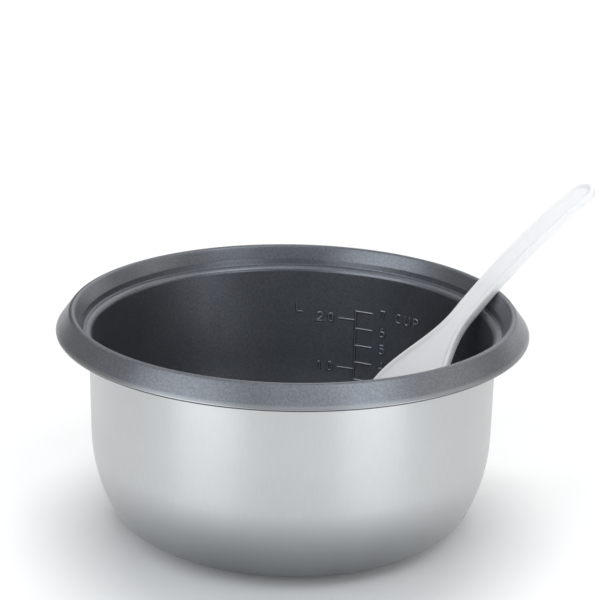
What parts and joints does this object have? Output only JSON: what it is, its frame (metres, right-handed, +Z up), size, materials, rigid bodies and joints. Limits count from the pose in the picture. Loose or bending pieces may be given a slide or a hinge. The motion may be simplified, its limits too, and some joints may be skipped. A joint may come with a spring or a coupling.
{
  "type": "rice cooker inner pot",
  "caption": "Round-bottomed cooking pot of a rice cooker with a turned-down rim and volume marks, a rice paddle leaning in it and a measuring cup standing inside.",
  "frame": {"origin": "centre of the pot's flat base, on its underside", "axes": "+Z up along the pot's axis, +Y towards the wall that carries the volume marks, +X to the right when facing the marks"},
  "size_m": [0.2797, 0.238, 0.1644],
  "materials": {
    "pot_metal": "satin, fine circular brushing",
    "nonstick": "satin dark grey non-stick coat with fine metallic fleck",
    "nonstick_marks": "the same satin non-stick coat over raised marks",
    "paddle_plastic": "white moulded plastic, soft gloss",
    "cup_plastic": "translucent clear moulded plastic"
  },
  "bodies": {
    "pot": {"pot_shell": "pot_metal", "nonstick_coating": "nonstick", "cup_scale": "nonstick_marks", "litre_scale": "nonstick_marks"},
    "paddle": {"rice_paddle": "paddle_plastic"},
    "cup": {"measuring_cup": "cup_plastic", "cup_graduations": "cup_plastic"}
  },
  "joints": [
    {"name": "paddle_lift", "type": "slide", "parent": "pot", "child": "paddle", "axis": [0, 0, 1], "range_m": [0, 0.16]},
    {"name": "cup_lift", "type": "slide", "parent": "pot", "child": "cup", "axis": [0, 0, 1], "range_m": [0, 0.16]}
  ]
}
